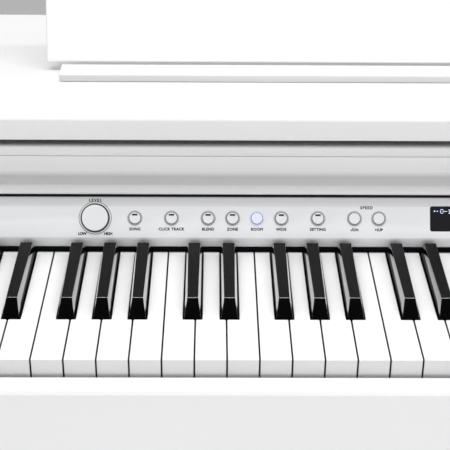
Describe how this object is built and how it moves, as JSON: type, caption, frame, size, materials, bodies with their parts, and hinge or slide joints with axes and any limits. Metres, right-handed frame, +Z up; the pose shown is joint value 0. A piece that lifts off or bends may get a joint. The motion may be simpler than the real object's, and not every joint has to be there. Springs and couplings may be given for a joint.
{
  "type": "digital piano on stand",
  "caption": "White console digital piano with weighted keys, control panel, sliding key cover, folding music rest, side-panel stand and pedals.",
  "frame": {"origin": "on the floor, under the middle of the whole instrument", "axes": "+Z up, +X towards the player's right (the high notes), -Y towards the player"},
  "size_m": [1.37, 0.4324, 0.9902],
  "materials": {
    "cabinet_lacquer": "smooth white lacquer over fibreboard, semi-gloss",
    "rear_board": "matt off-white melamine",
    "panel_white": "satin cool white moulded plastic",
    "white_keys": "glossy white",
    "black_keys": "satin black, fine texture on top",
    "button_plastic": "satin light grey white",
    "lit_button": "translucent white, lit from behind in pale blue",
    "display_glass": "clear gloss over a black display",
    "felt": "black wool felt",
    "steel": "zinc-plated sheet and wire",
    "pedal_brass": "polished",
    "black_plastic": "fine spark texture",
    "speaker_black": "paper cone and pressed basket, painted black",
    "guide_plastic": "smooth grey acetal",
    "circuit_board": "solder mask with parts"
  },
  "bodies": {
    "cabinet": {"left_side_panel": "cabinet_lacquer", "right_side_panel": "cabinet_lacquer", "left_foot": "cabinet_lacquer", "right_foot": "cabinet_lacquer", "back_board": "cabinet_lacquer", "keybed": "cabinet_lacquer", "key_slip": "cabinet_lacquer", "left_key_block": "cabinet_lacquer", "right_key_block": "cabinet_lacquer", "lid": "cabinet_lacquer", "music_ledge": "cabinet_lacquer", "pedal_rail": "cabinet_lacquer", "rear_panel": "rear_board", "control_panel": "panel_white", "display_window": "display_glass", "key_felt": "felt", "key_frame": "steel", "rear_jack_plate": "black_plastic", "headphone_box": "black_plastic", "pedal_adjuster": "black_plastic", "left_speaker": "speaker_black", "right_speaker": "speaker_black", "left_cover_guide": "guide_plastic", "right_cover_guide": "guide_plastic", "main_board": "circuit_board", "panel_board": "circuit_board"},
    "key_cover": {"key_cover": "cabinet_lacquer", "cover_rail": "cabinet_lacquer"},
    "music_rest": {"music_rest": "cabinet_lacquer"},
    "music_rest_prop": {"music_rest_prop": "steel"},
    "volume_knob": {"volume_knob": "button_plastic"},
    "demo_button": {"demo_button": "button_plastic"},
    "metronome_button": {"metronome_button": "button_plastic"},
    "layer_button": {"layer_button": "button_plastic"},
    "split_button": {"split_button": "button_plastic"},
    "reverb_button": {"reverb_button": "lit_button"},
    "chorus_button": {"chorus_button": "button_plastic"},
    "function_button": {"function_button": "button_plastic"},
    "minus_button": {"minus_button": "button_plastic"},
    "plus_button": {"plus_button": "button_plastic"},
    "voice_down_button": {"voice_down_button": "button_plastic"},
    "voice_up_button": {"voice_up_button": "button_plastic"},
    "power_button": {"power_button": "button_plastic"},
    "key_c3": {"key_c3": "white_keys"},
    "key_d3": {"key_d3": "white_keys"},
    "key_e3": {"key_e3": "white_keys"},
    "key_f3": {"key_f3": "white_keys"},
    "key_g3": {"key_g3": "white_keys"},
    "key_a3": {"key_a3": "white_keys"},
    "key_b3": {"key_b3": "white_keys"},
    "key_c_sharp3": {"key_c_sharp3": "black_keys"},
    "key_d_sharp3": {"key_d_sharp3": "black_keys"},
    "key_f_sharp3": {"key_f_sharp3": "black_keys"},
    "key_g_sharp3": {"key_g_sharp3": "black_keys"},
    "key_a_sharp3": {"key_a_sharp3": "black_keys"},
    "white_key_set": {"white_key_set": "white_keys"},
    "black_key_set": {"black_key_set": "black_keys"},
    "left_pedal": {"left_pedal": "pedal_brass"},
    "middle_pedal": {"middle_pedal": "pedal_brass"},
    "right_pedal": {"right_pedal": "pedal_brass"}
  },
  "joints": [
    {"name": "key_cover_slide", "type": "slide", "parent": "cabinet", "child": "key_cover", "axis": [0, -0.9799, -0.1994], "range_m": [0, 0.182]},
    {"name": "music_rest_fold", "type": "hinge", "parent": "cabinet", "child": "music_rest", "pos_m": [0, 0.07831, 0.85855], "axis": [1, 0, 0], "range_deg": [-72, 0]},
    {"name": "music_rest_prop_fold", "type": "hinge", "parent": "music_rest", "child": "music_rest_prop", "pos_m": [0, 0.1042, 0.91323], "axis": [1, 0, 0], "range_deg": [0, 132.01]},
    {"name": "key_c3_press", "type": "hinge", "parent": "cabinet", "child": "key_c3", "pos_m": [0, 0.01381, 0.721], "axis": [1, 0, 0], "range_deg": [0, 2.8], "stiffness_Nm_per_rad": 0.8, "springref_deg": -16.04},
    {"name": "key_d3_press", "type": "hinge", "parent": "cabinet", "child": "key_d3", "pos_m": [0, 0.01381, 0.721], "axis": [1, 0, 0], "range_deg": [0, 2.8], "stiffness_Nm_per_rad": 0.8, "springref_deg": -16.04},
    {"name": "key_e3_press", "type": "hinge", "parent": "cabinet", "child": "key_e3", "pos_m": [0, 0.01381, 0.721], "axis": [1, 0, 0], "range_deg": [0, 2.8], "stiffness_Nm_per_rad": 0.8, "springref_deg": -16.04},
    {"name": "key_f3_press", "type": "hinge", "parent": "cabinet", "child": "key_f3", "pos_m": [0, 0.01381, 0.721], "axis": [1, 0, 0], "range_deg": [0, 2.8], "stiffness_Nm_per_rad": 0.8, "springref_deg": -16.04},
    {"name": "key_g3_press", "type": "hinge", "parent": "cabinet", "child": "key_g3", "pos_m": [0, 0.01381, 0.721], "axis": [1, 0, 0], "range_deg": [0, 2.8], "stiffness_Nm_per_rad": 0.8, "springref_deg": -16.04},
    {"name": "key_a3_press", "type": "hinge", "parent": "cabinet", "child": "key_a3", "pos_m": [0, 0.01381, 0.721], "axis": [1, 0, 0], "range_deg": [0, 2.8], "stiffness_Nm_per_rad": 0.8, "springref_deg": -16.04},
    {"name": "key_b3_press", "type": "hinge", "parent": "cabinet", "child": "key_b3", "pos_m": [0, 0.01381, 0.721], "axis": [1, 0, 0], "range_deg": [0, 2.8], "stiffness_Nm_per_rad": 0.8, "springref_deg": -16.04},
    {"name": "key_c_sharp3_press", "type": "hinge", "parent": "cabinet", "child": "key_c_sharp3", "pos_m": [0, 0.01381, 0.721], "axis": [1, 0, 0], "range_deg": [0, 3.7], "stiffness_Nm_per_rad": 0.8, "springref_deg": -9.17},
    {"name": "key_d_sharp3_press", "type": "hinge", "parent": "cabinet", "child": "key_d_sharp3", "pos_m": [0, 0.01381, 0.721], "axis": [1, 0, 0], "range_deg": [0, 3.7], "stiffness_Nm_per_rad": 0.8, "springref_deg": -9.17},
    {"name": "key_f_sharp3_press", "type": "hinge", "parent": "cabinet", "child": "key_f_sharp3", "pos_m": [0, 0.01381, 0.721], "axis": [1, 0, 0], "range_deg": [0, 3.7], "stiffness_Nm_per_rad": 0.8, "springref_deg": -9.17},
    {"name": "key_g_sharp3_press", "type": "hinge", "parent": "cabinet", "child": "key_g_sharp3", "pos_m": [0, 0.01381, 0.721], "axis": [1, 0, 0], "range_deg": [0, 3.7], "stiffness_Nm_per_rad": 0.8, "springref_deg": -9.17},
    {"name": "key_a_sharp3_press", "type": "hinge", "parent": "cabinet", "child": "key_a_sharp3", "pos_m": [0, 0.01381, 0.721], "axis": [1, 0, 0], "range_deg": [0, 3.7], "stiffness_Nm_per_rad": 0.8, "springref_deg": -9.17},
    {"name": "white_key_set_press", "type": "hinge", "parent": "cabinet", "child": "white_key_set", "pos_m": [0, 0.01381, 0.721], "axis": [1, 0, 0], "range_deg": [0, 2.8], "stiffness_Nm_per_rad": 36, "springref_deg": -16.04},
    {"name": "black_key_set_press", "type": "hinge", "parent": "cabinet", "child": "black_key_set", "pos_m": [0, 0.01381, 0.721], "axis": [1, 0, 0], "range_deg": [0, 3.7], "stiffness_Nm_per_rad": 25, "springref_deg": -9.17},
    {"name": "demo_button_press", "type": "slide", "parent": "cabinet", "child": "demo_button", "axis": [0, 0.8471, -0.5314], "range_m": [0, 0.001], "stiffness_N_per_m": 600, "springref_m": -0.001},
    {"name": "metronome_button_press", "type": "slide", "parent": "cabinet", "child": "metronome_button", "axis": [0, 0.8471, -0.5314], "range_m": [0, 0.001], "stiffness_N_per_m": 600, "springref_m": -0.001},
    {"name": "layer_button_press", "type": "slide", "parent": "cabinet", "child": "layer_button", "axis": [0, 0.8471, -0.5314], "range_m": [0, 0.001], "stiffness_N_per_m": 600, "springref_m": -0.001},
    {"name": "split_button_press", "type": "slide", "parent": "cabinet", "child": "split_button", "axis": [0, 0.8471, -0.5314], "range_m": [0, 0.001], "stiffness_N_per_m": 600, "springref_m": -0.001},
    {"name": "reverb_button_press", "type": "slide", "parent": "cabinet", "child": "reverb_button", "axis": [0, 0.8471, -0.5314], "range_m": [0, 0.001], "stiffness_N_per_m": 600, "springref_m": -0.001},
    {"name": "chorus_button_press", "type": "slide", "parent": "cabinet", "child": "chorus_button", "axis": [0, 0.8471, -0.5314], "range_m": [0, 0.001], "stiffness_N_per_m": 600, "springref_m": -0.001},
    {"name": "function_button_press", "type": "slide", "parent": "cabinet", "child": "function_button", "axis": [0, 0.8471, -0.5314], "range_m": [0, 0.001], "stiffness_N_per_m": 600, "springref_m": -0.001},
    {"name": "minus_button_press", "type": "slide", "parent": "cabinet", "child": "minus_button", "axis": [0, 0.8471, -0.5314], "range_m": [0, 0.001], "stiffness_N_per_m": 600, "springref_m": -0.001},
    {"name": "plus_button_press", "type": "slide", "parent": "cabinet", "child": "plus_button", "axis": [0, 0.8471, -0.5314], "range_m": [0, 0.001], "stiffness_N_per_m": 600, "springref_m": -0.001},
    {"name": "voice_down_button_press", "type": "slide", "parent": "cabinet", "child": "voice_down_button", "axis": [0, 0.8471, -0.5314], "range_m": [0, 0.001], "stiffness_N_per_m": 600, "springref_m": -0.001},
    {"name": "voice_up_button_press", "type": "slide", "parent": "cabinet", "child": "voice_up_button", "axis": [0, 0.8471, -0.5314], "range_m": [0, 0.001], "stiffness_N_per_m": 600, "springref_m": -0.001},
    {"name": "power_button_press", "type": "slide", "parent": "cabinet", "child": "power_button", "axis": [0, 0.8471, -0.5314], "range_m": [0, 0.001], "stiffness_N_per_m": 600, "springref_m": -0.001},
    {"name": "volume_knob_turn", "type": "hinge", "parent": "cabinet", "child": "volume_knob", "pos_m": [-0.295, -0.03124, 0.76147], "axis": [0, -0.8471, 0.5314], "range_deg": [-150, 150]},
    {"name": "left_pedal_press", "type": "hinge", "parent": "cabinet", "child": "left_pedal", "pos_m": [-0.068, 0.18019, 0.106], "axis": [1, 0, 0], "range_deg": [0, 7], "stiffness_Nm_per_rad": 10, "springref_deg": -11.46},
    {"name": "middle_pedal_press", "type": "hinge", "parent": "cabinet", "child": "middle_pedal", "pos_m": [0, 0.18019, 0.106], "axis": [1, 0, 0], "range_deg": [0, 7], "stiffness_Nm_per_rad": 10, "springref_deg": -11.46},
    {"name": "right_pedal_press", "type": "hinge", "parent": "cabinet", "child": "right_pedal", "pos_m": [0.068, 0.18019, 0.106], "axis": [1, 0, 0], "range_deg": [0, 7], "stiffness_Nm_per_rad": 10, "springref_deg": -11.46}
  ],
  "couplings": [
    {"joint": "music_rest_prop_fold", "follows": "music_rest_fold", "ratio": -1.8333}
  ]
}
